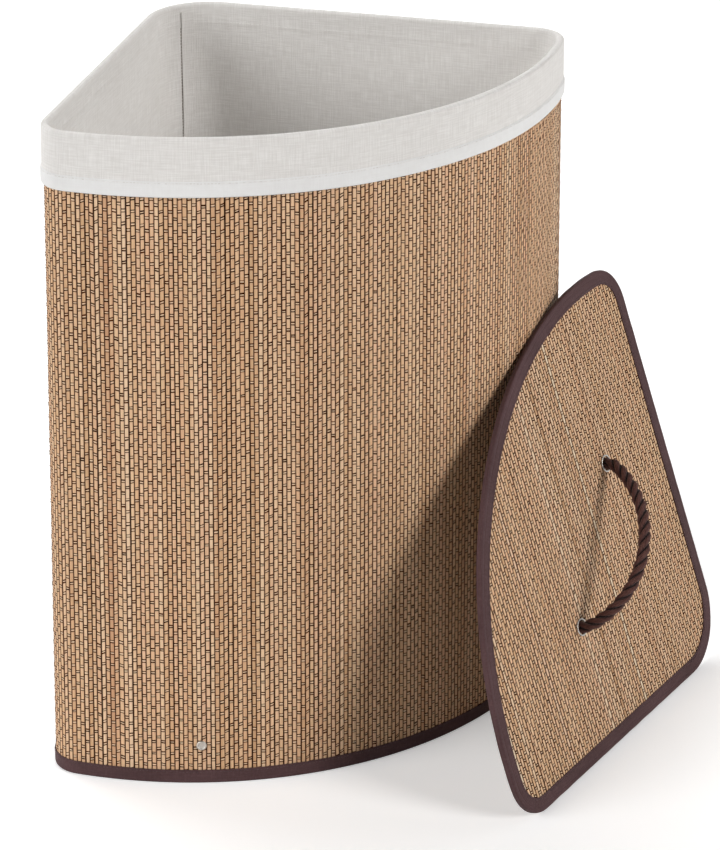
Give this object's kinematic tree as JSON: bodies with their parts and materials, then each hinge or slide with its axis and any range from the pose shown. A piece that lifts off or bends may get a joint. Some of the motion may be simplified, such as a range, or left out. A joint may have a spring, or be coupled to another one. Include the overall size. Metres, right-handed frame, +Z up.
{
  "type": "laundry hamper with lid",
  "caption": "Quarter-round corner hamper of woven bamboo mat with a folded-over cotton liner and a loose rope-handled lid leaning on its side.",
  "frame": {"origin": "on the floor, under the middle of the hamper's base, on the hamper's own plane of symmetry", "axes": "+Z up, -Y out through the middle of the curved front, +Y towards the square back corner; the lid leans at the +X, -Y side"},
  "size_m": [0.6904, 0.5898, 0.65],
  "materials": {
    "bamboo": "split bamboo slats, satin",
    "brown_tape": "woven cotton binding tape",
    "grey_cloth": "non-woven backing cloth",
    "liner_cotton": "slubby linen-look cotton",
    "board": "stiff fibre board",
    "steel": "nickel-plated steel",
    "rope": "three-strand twisted cord"
  },
  "bodies": {
    "hamper": {"wall_mat": "bamboo", "wall_backing": "grey_cloth", "wall_seam_tape": "brown_tape", "top_binding": "brown_tape", "top_rim_wire": "steel", "bottom_binding": "brown_tape", "bottom_rim_wire": "steel", "base_cloth": "grey_cloth", "base_board": "board", "base_tab_left": "brown_tape", "base_tab_right": "brown_tape", "rivet_left": "steel", "rivet_right": "steel", "rivet_washer_left": "steel", "rivet_washer_right": "steel"},
    "liner": {"liner_bag": "liner_cotton", "liner_floor": "liner_cotton", "liner_hem": "liner_cotton", "liner_corner_seam": "liner_cotton"},
    "lid": {"lid_binding": "brown_tape", "lid_lining": "grey_cloth", "lid_board": "board", "lid_mat": "bamboo", "eyelet_upper": "steel", "eyelet_lower": "steel", "eyelet_washer_upper": "steel", "eyelet_washer_lower": "steel", "rope_end_upper": "rope", "rope_end_lower": "rope"},
    "handle": {"handle_rope": "rope"}
  },
  "joints": [
    {"name": "lid_lift", "type": "slide", "parent": "hamper", "child": "lid", "axis": [0.093, -0.177, 0.9798], "range_m": [0, 0.7]},
    {"name": "liner_lift", "type": "slide", "parent": "hamper", "child": "liner", "axis": [0, 0, 1], "range_m": [0, 0.66]},
    {"name": "handle_swing", "type": "hinge", "parent": "lid", "child": "handle", "pos_m": [0.2304, -0.22661, 0.17927], "axis": [-0.5134, -0.5433, -0.6643], "range_deg": [-75, 75]}
  ]
}
